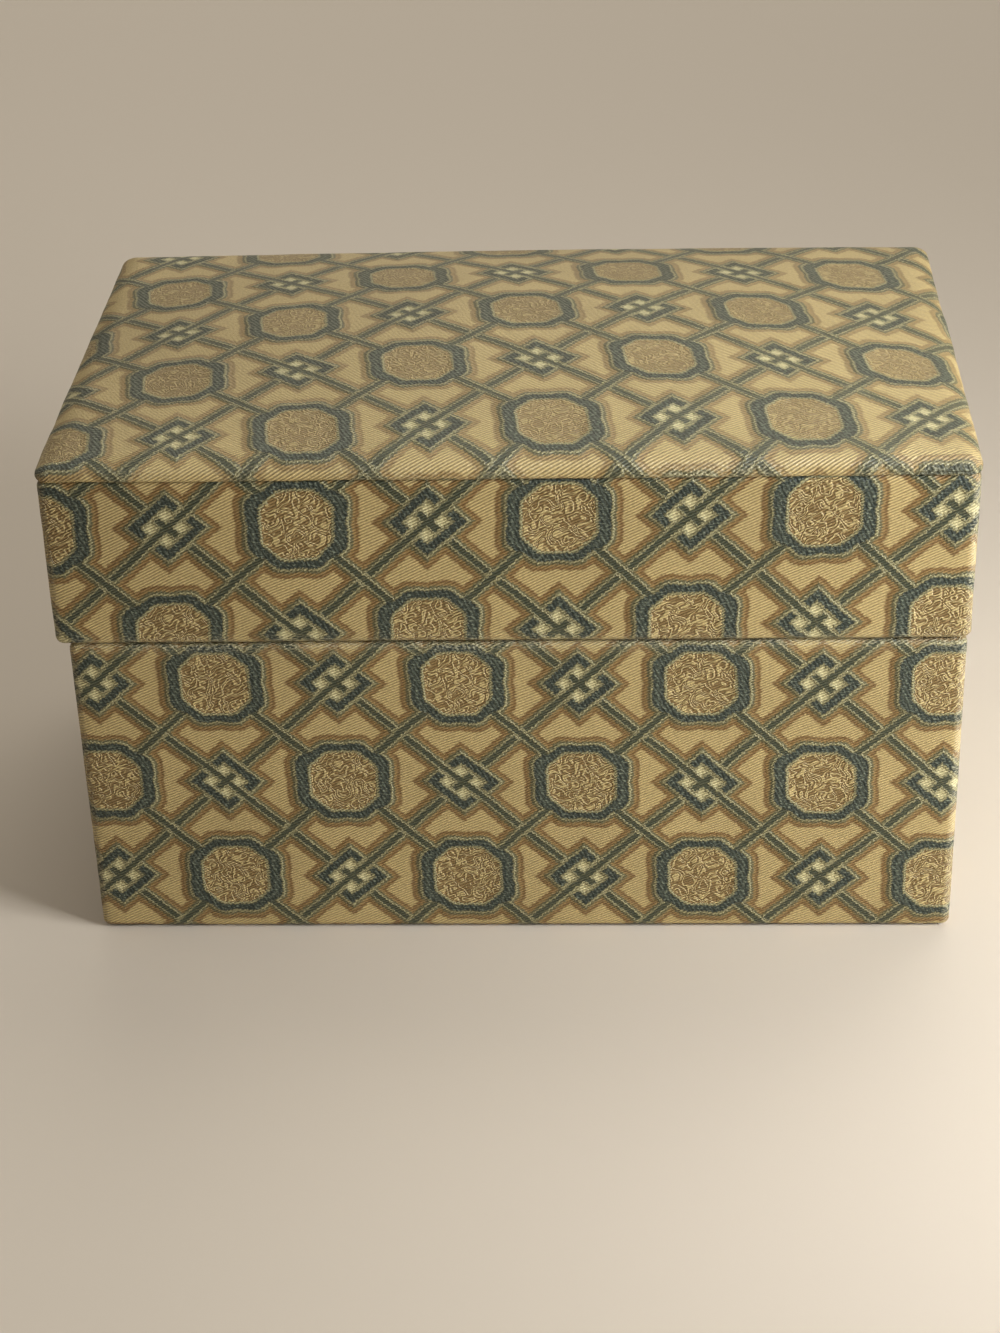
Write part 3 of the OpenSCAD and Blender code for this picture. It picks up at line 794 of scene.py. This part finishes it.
            # Cloth pulled over board lies a little uneven, most along the rim
            wall = 1.0 if inset < 0.01 else 0.4
            out = 0.09 * wall * ripple(x, y, z, 14, self.seed) + 0.05 * wall * ripple(x, y, z, 4, self.seed + 2)
            high = abs(self.rim_z - self.closed_z)
            near_rim = max(0.0, 1 - abs(high - z) / 4) if inset < self.flap else 0.0
            folded = 1.0 if abs(nx) > 0.05 and abs(ny) > 0.05 else 0.0
            rubbed = max(0.0, 1 - abs(high - z) / 1.5) if inset < 2 else 0.0
            vert[wear_and_highlight] = max(0.35 * folded, rubbed * (0.65 + 0.5 * ripple(x, y, 0, 9, self.seed + 6)))
            dip = near_rim * (0.16 + 0.16 * ripple(x, y, 0, 17, self.seed + 4))
            vert.co = Vector((x + nx * out + self.middle[0], y + ny * out + self.middle[1],
                              self.closed_z + up * (z - dip)))
        bmesh.ops.delete(bm, geom=behind, context="VERTS")
        bmesh.ops.remove_doubles(bm, verts=bm.verts, dist=0.001)
        bmesh.ops.recalc_face_normals(bm, faces=bm.faces)
        # The open shell's outside is the side away from the tray's middle
        low = min(bm.faces, key=lambda f: f.calc_center_median().y)
        if low.normal.y > 0:
            bmesh.ops.reverse_faces(bm, faces=bm.faces)
        piece = into_object(bm, self.name, material)
        shell = piece.modifiers.new("cloth_thickness", "SOLIDIFY")
        shell.thickness = 0.5 * MM
        shell.offset = -1
        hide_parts(self.node_name)
        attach(piece, self.body)
        return piece


@dataclass
class PaddedPanel:
    """The padded panel on the lid: brocade drawn over wadding, rolled over the edges and tucked in."""

    width: float = 155.0
    depth: float = 96.2
    middle: tuple[float, float] = (-0.75, -0.3)
    crease_z: float = 89.6
    side: float = 1.1
    roll_w: float = 5.0
    roll_h: float = 1.9
    crown: float = 5.0
    corner_r: float = 2.7
    hem: float = 12.0
    # The bunched cloth at the front right corner: where it starts, and how far apart its folds are
    bunch_x: float = 50.0
    bunch_step: float = 1.5
    lay: Lay = field(default_factory=lambda: Lay((-96.79, -40.62), (20.7466, 20.6932), 2.3694, -0.0917))

    def edge_places(self, half: float, step: float) -> list[float]:
        """Places across the panel, closer together on the rolls."""
        roll = [0, 0.08, 0.25, 0.5, 0.8, 1.15, 1.5, 1.9, 2.3, 2.7, 3.2, 3.8, 4.4]
        inner = half - self.roll_w
        return [-half + r for r in roll] + spaced(-inner, inner, step) + [half - r for r in reversed(roll)]

    def rounded(self, x: float, y: float) -> tuple[float, float]:
        """Rounds the corners of the plan.

        Args:
            x: place from the middle.
            y: place from the middle.

        Returns:
            The place on the plan with round corners.
        """
        r = self.corner_r
        cx, cy = self.width / 2 - r, self.depth / 2 - r
        dx, dy = abs(x) - cx, abs(y) - cy
        if dx > 0 and dy > 0:
            a, b = dx / r, dy / r
            x, y = (math.copysign(cx + r * a * math.sqrt(1 - b * b / 2), x),
                    math.copysign(cy + r * b * math.sqrt(1 - a * a / 2), y))
        return x, y

    def wavering(self, x: float, y: float) -> tuple[float, float]:
        """Lets the edge of the round plan waver, most at its rim.

        Args:
            x: place from the middle.
            y: place from the middle.

        Returns:
            The place on the soft plan.
        """
        reach = 6.0
        inset = self.inset(x, y)
        if inset >= reach:
            return x, y
        nx, ny = self.outward(x, y)
        out = (1 - inset / reach) * (0.22 * ripple(x, y, 0, 12, 7) + 0.1 * ripple(x, y, 0, 5, 8) - 0.04)
        return x + nx * out, y + ny * out

    def inset(self, x: float, y: float) -> float:
        """Distance of a rounded place from the plan's edge."""
        r = self.corner_r
        dx, dy = abs(x) - self.width / 2 + r, abs(y) - self.depth / 2 + r
        if dx > 0 and dy > 0:
            return max(0.0, r - math.hypot(dx, dy))
        return max(0.0, min(r - dx, r - dy))

    def bunch(self, x: float, y: float) -> float:
        """How strongly the cloth is bunched at a place: 1 at the front right corner, 0 elsewhere."""
        along = min(max((x - self.bunch_x) / 14, 0), 1)
        near = max(0.0, 1 - (y + self.depth / 2) / 6)
        return along * along * near

    def rise(self, x: float, y: float) -> float:
        """Height of the padded top above the crease."""
        inset = self.inset(x, y)
        left = 1 - min(inset / self.roll_w, 1)
        dome = (1 - min(1, abs(2 * x / self.width)) ** 2) * (1 - min(1, abs(2 * y / self.depth)) ** 2)
        soft = 0.18 * ripple(x, y, 0, 22, 5) + 0.08 * ripple(x, y, 0, 8, 6)
        folds = self.bunch(x, y) * 0.12 * math.sin(2 * math.pi * (inset + 0.4 * ripple(x, y, 0, 5, 3)) / self.bunch_step)
        roll = self.roll_h * math.sqrt(max(0.0, 1 - left * left))
        return self.side + roll + self.crown * dome + soft * (dome + 0.02) ** 0.3 + folds

    def outward(self, x: float, y: float) -> tuple[float, float]:
        """Direction out of the plan at its edge."""
        r = self.corner_r
        dx, dy = abs(x) - self.width / 2 + r, abs(y) - self.depth / 2 + r
        if dx > 1e-6 and dy > 1e-6:
            size = math.hypot(dx, dy)
            return math.copysign(dx / size, x), math.copysign(dy / size, y)
        if r - dx < r - dy:
            return math.copysign(1.0, x), 0.0
        return 0.0, math.copysign(1.0, y)

    def pulled(self, place: float, half: float) -> float:
        """Distance on the cloth for a place across the panel: over the roll it follows the curve."""
        flat = min(abs(place), half - self.roll_w)
        steps = 16
        over = [math.sin(math.pi / 2 * i / steps) * (abs(place) - flat) / self.roll_w for i in range(steps + 1)]
        path = [(self.roll_w * a, self.roll_h * math.sqrt(max(0.0, 1 - a * a))) for a in over]
        return math.copysign(flat + sum(math.dist(a, b) for a, b in zip(path, path[1:])), place)

    def on_cloth(self, s: float, t: float, cloth: Brocade) -> tuple[float, float]:
        """Gives the cloth's own millimetres; along the front edge it was drawn tighter to the right.

        Args:
            s: distance on the cloth from the panel's middle, to the right.
            t: distance on the cloth from the panel's middle, to the back.
            cloth: the brocade.

        Returns:
            The place on the unstretched cloth.
        """
        s, t = s + self.middle[0], t + self.middle[1]
        row = self.lay.knot[1] + math.tan(math.radians(self.lay.turn)) * (s - self.lay.knot[0])
        if t < row:
            tight = 0.975 - 0.105 * min(max((s + 55) / 105, 0), 1)
            t = row + (t - row) * tight
        return self.lay.place(s, t, cloth)

    def skirt(self) -> list[tuple[float, float]]:
        """Walks the cloth from the roll down to the crease and in under the panel.

        Returns:
            Rows of how far out of the plan's edge it is and its height above the crease.
        """
        rows = [(0.04, 0.9), (0.05, 0.75), (0.03, 0.6)]
        for a in (30, 60, 90):
            angle = math.radians(a)
            rows.append((-0.5 * (1 - math.cos(angle)), 0.6 - 0.55 * math.sin(angle)))
        rows += [(-0.8, 0.03), (-4.0, 0.02), (-8.0, 0.02), (-self.hem + 0.5, 0.02)]
        return rows

    def build(self, cloth: Brocade, material: bpy.types.Material) -> bpy.types.Object:
        """Builds the panel's cover.

        Args:
            cloth: the brocade.
            material: its finish.

        Returns:
            The cover.
        """
        half_w, half_d = self.width / 2, self.depth / 2
        bm, places = flat_cloth(self.edge_places(half_w, 1.3), self.edge_places(half_d, 1.3))
        layer = bm.loops.layers.uv[CLOTH_MAP]
        wear_and_highlight = bm.verts.layers.float[WEAR_AND_HIGHLIGHT]
        for face in bm.faces:
            for loop in face.loops:
                x, y = places[loop.vert]
                loop[layer].uv = self.on_cloth(self.pulled(x, half_w), self.pulled(y, half_d), cloth)
        for vert, (x, y) in places.items():
            near = max(0.0, 1 - self.inset(x, y) / 1.4)
            fluffy = max(0.0, 1 - abs(x - 36) / 16)
            # Pale rubbed threads along the rolled edge, and a painted highlight on the bunched folds at the front right
            # corner
            vert[wear_and_highlight] = max(near * (0.15 + 0.45 * fluffy + 0.35 * ripple(x, y, 0, 9, 4)), 0.12 * self.bunch(x, y))
            x, y = self.rounded(x, y)
            vert.co = Vector((*self.wavering(x, y), self.rise(x, y)))
        rim = [edge for edge in bm.edges if edge.is_boundary]
        roots = {vert: vert.co.copy() for edge in rim for vert in edge.verts}
        flats = {vert: places[vert] for vert in roots}
        gone = 0.0
        before = (0.0, self.side)
        for out, high in self.skirt():
            made = bmesh.ops.extrude_edge_only(bm, edges=rim)["geom"]
            new_verts = [g for g in made if isinstance(g, bmesh.types.BMVert)]
            new_faces = [g for g in made if isinstance(g, bmesh.types.BMFace)]
            rim = [g for g in made if isinstance(g, bmesh.types.BMEdge) and g.is_boundary]
            step = math.dist((out, high), before)
            before = (out, high)
            twins = {vert: next(e.other_vert(vert) for e in vert.link_edges if e.other_vert(vert) in roots)
                     for vert in new_verts}
            new_roots = {vert: roots[old] for vert, old in twins.items()}
            new_flats = {vert: flats[old] for vert, old in twins.items()}
            for face in new_faces:
                centre = sum((roots.get(v, new_roots.get(v)) for v in face.verts), Vector()) / len(face.verts)
                side = self.side_of(centre)
                for loop in face.loops:
                    new = loop.vert in new_roots
                    x, y = (new_flats if new else flats)[loop.vert]
                    run = gone + (step if new else 0.0)
                    s = self.pulled(x, half_w) + side.value[0] * run
                    t = self.pulled(y, half_d) + side.value[1] * run
                    loop[layer].uv = self.on_cloth(s, t, cloth)
            for vert, root in new_roots.items():
                nx, ny = self.outward(root.x, root.y)
                fold = self.bunch(root.x, root.y) * 0.15 * math.sin(2 * math.pi * high / 0.9)
                lift = max(0.0, 0.3 * ripple(root.x, root.y, 0, 8, 14)) * max(0.0, 1 - high / 0.5)
                vert.co = Vector((root.x + nx * (out + fold), root.y + ny * (out + fold), high + lift))
            roots, flats = new_roots, new_flats
            gone += step
        bmesh.ops.remove_doubles(bm, verts=bm.verts, dist=0.0005)
        bmesh.ops.translate(bm, verts=bm.verts, vec=(*self.middle, self.crease_z))
        bmesh.ops.recalc_face_normals(bm, faces=bm.faces)
        top = max(bm.faces, key=lambda f: f.calc_center_median().z)
        if top.normal.z < 0:
            bmesh.ops.reverse_faces(bm, faces=bm.faces)
        piece = into_object(bm, "panel_cover", material)
        shell = piece.modifiers.new("cloth_thickness", "SOLIDIFY")
        shell.thickness = 0.3 * MM
        shell.offset = -1
        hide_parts("panel_brocade")
        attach(piece, "lid")
        return piece

    def side_of(self, centre: Vector) -> Side:
        """The side of the plan that a place on its edge belongs to."""
        to_x, to_y = self.width / 2 - abs(centre.x), self.depth / 2 - abs(centre.y)
        if to_x < to_y:
            return Side.RIGHT if centre.x > 0 else Side.LEFT
        return Side.BACK if centre.y > 0 else Side.FRONT


@dataclass
class Strips:
    """The two strips that join the trays: brocade over the back, satin inside with its fold of slack."""

    hinge_y: float = 47.5
    hinge_z: float = 58.95
    low_z: float = 0.4
    high_z: float = 89.6
    width: float = 146.0
    inner_width: float = 143.2
    cloth_t: float = 0.6
    flap: float = 4.2
    leaf: float = 12.0
    fold_r: float = 1.9
    lay: Lay = field(default_factory=lambda: Lay((-71.0, 9.0), (20.8, 19.9), 0.3, -0.01))

    def inner_path(self) -> list[tuple[float, float]]:
        """Walks the satin strip up the base's back, round its fold and up the lid's back, as y and z."""
        y = self.hinge_y - self.flap - 0.2
        rim = 0.15
        low = [(y, z) for z in spaced(self.hinge_z - rim - self.leaf, self.hinge_z - self.fold_r, 1.5)]
        fold = [(y - self.fold_r * math.cos(a), self.hinge_z + self.fold_r * math.sin(a))
                for a in (math.radians(d) for d in range(-75, 90, 15))]
        high = [(y, z) for z in spaced(self.hinge_z + self.fold_r, self.hinge_z + rim + self.leaf, 1.5)]
        return low + fold + high

    def build_outer(self, cloth: Brocade, material: bpy.types.Material) -> bpy.types.Object:
        """Builds the brocade strip over the back.

        Args:
            cloth: the brocade.
            material: its finish.

        Returns:
            The strip.
        """
        half = self.width / 2
        zs = spaced(self.low_z, self.hinge_z - 3, 2) + spaced(self.hinge_z - 3, self.hinge_z + 3, 0.4)[1:-1]
        zs += spaced(self.hinge_z + 3, self.high_z, 2)
        bm, places = flat_cloth(spaced(-half, half, 2), zs)
        layer = bm.loops.layers.uv[CLOTH_MAP]
        for face in bm.faces:
            for loop in face.loops:
                x, z = places[loop.vert]
                loop[layer].uv = self.lay.place(-x, z, cloth)
        for vert, (x, z) in places.items():
            out = 0.08 * ripple(x, 0, z, 14, 9) + 0.04 * ripple(x, 0, z, 4, 10)
            # A shallow crease along the hinge line
            out -= 0.25 * math.exp(-((z - self.hinge_z) / 0.6) ** 2)
            vert.co = Vector((x, self.hinge_y + 0.22 + out, z))
        bmesh.ops.recalc_face_normals(bm, faces=bm.faces)
        if next(iter(bm.faces)).normal.y < 0:
            bmesh.ops.reverse_faces(bm, faces=bm.faces)
        bmesh.ops.solidify(bm, geom=bm.faces[:], thickness=0.5)
        bmesh.ops.recalc_face_normals(bm, faces=bm.faces)
        piece = into_object(bm, "hinge_brocade", material)
        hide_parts("base_back_brocade", "lid_back_brocade")
        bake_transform(piece, "base", "lid", start=(0, self.hinge_y * MM, (self.hinge_z - 2) * MM),
                 end=(0, self.hinge_y * MM, (self.hinge_z + 2) * MM))
        return piece

    def build_inner(self, material: bpy.types.Material) -> bpy.types.Object:
        """Builds the satin strip inside the back.

        Args:
            material: its finish.

        Returns:
            The strip.
        """
        half = self.inner_width / 2
        path = self.inner_path()
        bm, places = flat_cloth(spaced(-half, half, 3), [float(i) for i in range(len(path))])
        for vert, (x, row) in places.items():
            y, z = path[round(row)]
            vert.co = Vector((x, y, z))
        bmesh.ops.recalc_face_normals(bm, faces=bm.faces)
        if next(iter(bm.faces)).normal.y > 0:
            bmesh.ops.reverse_faces(bm, faces=bm.faces)
        bmesh.ops.solidify(bm, geom=bm.faces[:], thickness=0.3)
        bmesh.ops.recalc_face_normals(bm, faces=bm.faces)
        piece = into_object(bm, "satin_hinge_strip", material)
        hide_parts("base_hinge_lining", "lid_hinge_lining")
        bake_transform(piece, "base", "lid", start=(0, self.hinge_y * MM, (self.hinge_z - self.fold_r) * MM),
                 end=(0, self.hinge_y * MM, (self.hinge_z + self.fold_r) * MM))
        return piece


@dataclass(frozen=True)
class Pad:
    """A padded form on z = 0: upright sides that pull in, a rolled edge, a crowned top and pinched corners."""

    width: float
    depth: float
    side: float
    roll_w: float
    roll_h: float
    crown: float
    seed: float
    step: float = 2.0
    # How far the sides pull in between the corners
    pull: float = 0.3

    def build(self) -> bmesh.types.BMesh:
        """Builds the closed form.

        Returns:
            The bmesh, in millimetres.
        """
        half_w, half_d = self.width / 2, self.depth / 2
        inner_w, inner_d = half_w - self.roll_w, half_d - self.roll_w
        shares = (0, 0.04, 0.15, 0.35, 0.65)
        xs = [-half_w + share * self.roll_w for share in shares] + spaced(-inner_w, inner_w, self.step)
        xs += [half_w - share * self.roll_w for share in reversed(shares)]
        ys = [-half_d + share * self.roll_w for share in shares] + spaced(-inner_d, inner_d, self.step)
        ys += [half_d - share * self.roll_w for share in reversed(shares)]
        bm, places = flat_cloth(xs, ys)
        for vert, (x, y) in places.items():
            to_x, to_y = half_w - abs(x), half_d - abs(y)
            inset = min(to_x, to_y)
            left = 1 - min(inset / self.roll_w, 1)
            dome = (1 - (x / half_w) ** 2) * (1 - (y / half_d) ** 2)
            # The satin is folded in at each corner: creases run inward from it
            corner = math.exp(-math.hypot(to_x, to_y) / 5)
            crease = 0.12 * corner * math.sin(6 * math.atan2(to_y + 0.3, to_x + 0.3))
            soft = 0.12 * self.crown * ripple(x, y, 0, 16, self.seed) * dome ** 0.5
            z = self.side + self.roll_h * math.sqrt(max(0.0, 1 - left * left)) + self.crown * dome + soft + crease
            near = max(0.0, 1 - inset / self.roll_w)
            pull_x = self.pull * near * (1 - (y / half_d) ** 2)
            pull_y = self.pull * near * (1 - (x / half_w) ** 2)
            x -= math.copysign(pull_x, x) if to_x <= to_y else 0.0
            y -= math.copysign(pull_y, y) if to_y < to_x else 0.0
            vert.co = Vector((x, y, z))
        made = bmesh.ops.extrude_edge_only(bm, edges=[edge for edge in bm.edges if edge.is_boundary])["geom"]
        for part in made:
            if isinstance(part, bmesh.types.BMVert):
                part.co.z = 0.0
        rim = [part for part in made if isinstance(part, bmesh.types.BMEdge) and part.is_boundary]
        bmesh.ops.contextual_create(bm, geom=rim)
        bmesh.ops.recalc_face_normals(bm, faces=bm.faces)
        return bm


@dataclass
class Lining:
    """Satin-covered cards round the inside of a tray, and the cushion between them."""

    body: str
    up: int
    seed: float

    def card(self, side: Side, material: bpy.types.Material) -> bpy.types.Object:
        """Builds one padded card in the space of its node, swelling into the tray.

        Args:
            side: the wall that it covers.
            material: its finish.

        Returns:
            The card.
        """
        node_name = f"{self.body}_{side.name.lower()}_lining"
        low, high = (Vector(c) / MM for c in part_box(node_name))
        size, centre = high - low, (high + low) / 2
        across = side in (Side.FRONT, Side.BACK)
        thick, run = (size.y, size.x) if across else (size.x, size.y)
        bm = Pad(run - 0.1, size.z - 0.1, thick * 0.5, 1.2, thick * 0.45, 0.3, self.seed, 3.0, 0.1).build()
        # Stood up with its swollen face towards the middle of the tray
        turn = {Side.FRONT: 180, Side.BACK: 0, Side.LEFT: 90, Side.RIGHT: -90}[side]
        stand = Matrix.Rotation(math.radians(turn), 3, "Z") @ Matrix.Rotation(math.radians(90), 3, "X")
        bmesh.ops.rotate(bm, cent=(0, 0, 0), matrix=stand, verts=bm.verts)
        wall = Vector((side.value[0], side.value[1], 0)) * thick / 2
        bmesh.ops.translate(bm, verts=bm.verts, vec=centre + wall)
        piece = into_object(bm, f"{node_name}_satin", material)
        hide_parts(node_name)
        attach(piece, self.body)
        return piece

    def cushion(self, material: bpy.types.Material) -> bpy.types.Object:
        """Builds the satin cushion on the floor of the tray.

        Args:
            material: its finish.

        Returns:
            The cushion.
        """
        node_name = f"{self.body}_cushion"
        low, high = (Vector(c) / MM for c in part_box(node_name))
        bm = Pad(high.x - low.x, high.y - low.y, 1.2, 2.0, 2.0, 1.6, self.seed).build()
        z = low.z
        if self.up < 0:
            bmesh.ops.rotate(bm, cent=(0, 0, 0), matrix=Matrix.Rotation(math.pi, 3, "X"), verts=bm.verts)
            z = high.z
        bmesh.ops.translate(bm, verts=bm.verts, vec=((low.x + high.x) / 2, (low.y + high.y) / 2, z))
        piece = into_object(bm, f"{node_name}_satin", material)
        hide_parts(node_name)
        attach(piece, self.body)
        return piece


@dataclass
class Studio:
    """Plain floor, soft light and the camera of the photograph."""

    # Focal length in pixels of the 1000 x 1333 picture, and where the camera stands
    focal_px: float = 2670.4
    picture_h: float = 1333.0
    camera_mm: tuple[float, float, float] = (19.29, -438.50, 280.53)
    pitch: float = 30.0265
    yaw: float = 3.1973
    roll: float = 1.9501

    def camera(self) -> None:
        """Sets the camera where the photograph was taken from."""
        data = bpy.data.cameras.new("camera")
        data.sensor_fit = "VERTICAL"
        data.sensor_height = 36.0
        data.lens = self.focal_px / self.picture_h * 36.0
        data.clip_start = 0.02
        data.clip_end = 20.0
        camera = bpy.data.objects.new("camera", data)
        turn = (Matrix.Rotation(math.radians(self.yaw), 4, "Z")
                @ Matrix.Rotation(math.radians(90 - self.pitch), 4, "X")
                @ Matrix.Rotation(math.radians(-self.roll), 4, "Z"))
        camera.matrix_world = Matrix.Translation(Vector(self.camera_mm) * MM) @ turn
        bpy.context.scene.collection.objects.link(camera)
        bpy.context.scene.camera = camera

    def light(self) -> None:
        """Hangs a soft key light on the right, a weak warm fill in front and lamps over the back and left."""
        lamps = (
            # Name, place, what it points at, size, power, spread in degrees, colour
            ("key", (0.33, -0.19, 0.19), (0.07, -0.04, 0.06), 0.18, 0.8, 95, (0.97, 1.0, 1.04)),
            ("fill", (0.20, -1.55, 0.80), (0, 0, 0.05), 1.0, 0.12, 180, (1.0, 0.5, 0.2)),
            ("back", (0.37, 1.37, 1.92), (0, 0, 0.05), 2.0, 31.0, 180, (1.0, 0.99, 0.96)),
            ("side", (-1.20, 0.40, 1.00), (0, 0, 0.05), 0.9, 3.0, 180, (1.0, 0.95, 0.88)),
        )
        for name, place, target, size, power, spread, colour in lamps:
            data = bpy.data.lights.new(name, "AREA")
            data.size = size
            data.energy = power
            data.spread = math.radians(spread)
            data.color = colour
            lamp = bpy.data.objects.new(name, data)
            lamp.location = place
            lamp.rotation_euler = (Vector(target) - Vector(place)).to_track_quat("-Z", "Y").to_euler()
            bpy.context.scene.collection.objects.link(lamp)
        world = bpy.data.worlds.new("studio")
        world.use_nodes = True
        world.node_tree.nodes.clear()
        sky = node(world.node_tree, "ShaderNodeBackground", {"Color": (1.0, 0.9, 0.76, 1), "Strength": 0.17})
        node(world.node_tree, "ShaderNodeOutputWorld", {"Surface": sky.outputs[0]})
        bpy.context.scene.world = world
        bpy.context.scene.view_settings.view_transform = "Standard"

    def floor(self, material: bpy.types.Material) -> None:
        """Lays the plain pale floor."""
        bm = bmesh.new()
        bmesh.ops.create_grid(bm, x_segments=4, y_segments=4, size=3000.0)
        into_object(bm, "floor", material, smooth=False)


def main() -> None:
    """Builds every sub-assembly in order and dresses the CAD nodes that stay."""
    logging.basicConfig(level=logging.INFO, format="%(message)s")
    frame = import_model()
    cloth = Brocade()
    # The panel's top gets the same brocade with painted sheen: paler dark threads and softer scrolls
    sheen_painted_cloth = Brocade("sheen_painted_silk_brocade", painted_sheen=0.22)
    brocade, satin = cloth.make(), Satin().make()
    studio = Studio()
    studio.camera()
    studio.light()
    studio.floor(Fibre("matte_studio_floor", Shade.FLOOR, Shade.FLOOR, grain=4.0, rough=0.85, relief=0.01).make())
    base = Tray("base_cover", "base", "base_brocade", 152.0, 95.0, 0.4, 58.8, (0.0, 0.0),
                Lay((-71.623, 11.715), (20.7134, 19.8199), -0.4140, -0.0202), seed=1.0)
    lid = Tray("lid_cover", "lid", "lid_brocade", 154.4, 95.6, 89.6, 59.1, (-0.75, -0.3),
               Lay((-100.55, 39.10), (21.61, 20.6809), 1.0719, 0.0483), seed=2.0)
    made = [base.build(cloth, brocade), lid.build(cloth, brocade), PaddedPanel().build(sheen_painted_cloth, sheen_painted_cloth.make())]
    strips = Strips()
    made += [strips.build_outer(cloth, brocade), strips.build_inner(satin)]
    for lining in (Lining("base", 1, 11.0), Lining("lid", -1, 12.0)):
        made += [lining.card(side, satin) for side in Side]
        made.append(lining.cushion(satin))
    for piece in made:
        LOG.info("made %s: %d faces", piece.name, len(piece.data.polygons))
    finishes = {
        "grey_board": Fibre("pressed_grey_board", Shade.BOARD, Shade.BOARD_FLECK),
        "card": Fibre("white_lined_card", Shade.CARD, Shade.CARD_FLECK, grain=0.8),
        "wadding": Fibre("cotton_wadding", Shade.WADDING, Shade.CARD, grain=2.5, relief=0.4),
        "underside_paper": Fibre("dyed_blue_paper", Shade.PAPER, Shade.PAPER_FIBRE, grain=0.7),
    }
    dressed = {name: finish.make() for name, finish in finishes.items()}
    slots = {row["node"]: row["material_slot"] for row in frame["record"]["subparts"]}
    for name, part in frame["nodes"].items():
        if slots[name] in dressed:
            for slot in part.material_slots:
                slot.material = dressed[slots[name]]
            LOG.info("dressed %s", name)


if __name__ == "__main__":
    main()
